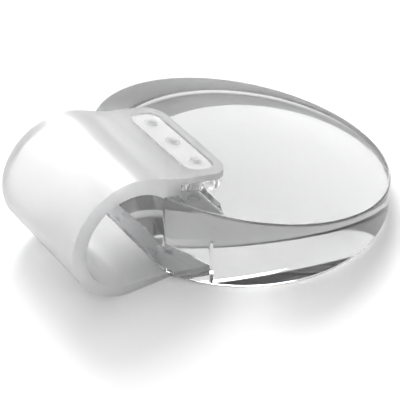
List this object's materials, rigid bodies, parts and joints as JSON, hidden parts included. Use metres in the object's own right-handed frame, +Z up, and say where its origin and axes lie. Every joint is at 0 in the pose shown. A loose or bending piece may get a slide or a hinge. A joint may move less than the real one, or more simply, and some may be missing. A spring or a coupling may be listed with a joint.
{
  "type": "cheek retractor",
  "caption": "Finger-worn cheek retractor: a solid clear wedge-shaped disc with a flat heel, held by a frosted silicone finger loop clamped on top and keyed underneath.",
  "frame": {"origin": "under the middle of the whole object, on the surface it rests on", "axes": "+X from the finger loop to the thin far edge of the disc, +Y across the finger loop, +Z up"},
  "size_m": [0.072, 0.056, 0.0238],
  "materials": {
    "clear_plastic": "polished, clear",
    "clear_trim": "polished, clear",
    "frosted_silicone": "satin, translucent"
  },
  "bodies": {
    "root": {"paddle": "clear_plastic", "finger_loop": "frosted_silicone", "landing_pad": "clear_trim", "clamp_strip": "clear_trim", "clamp_pegs": "clear_trim", "anchor_block": "clear_trim"}
  },
  "joints": []
}
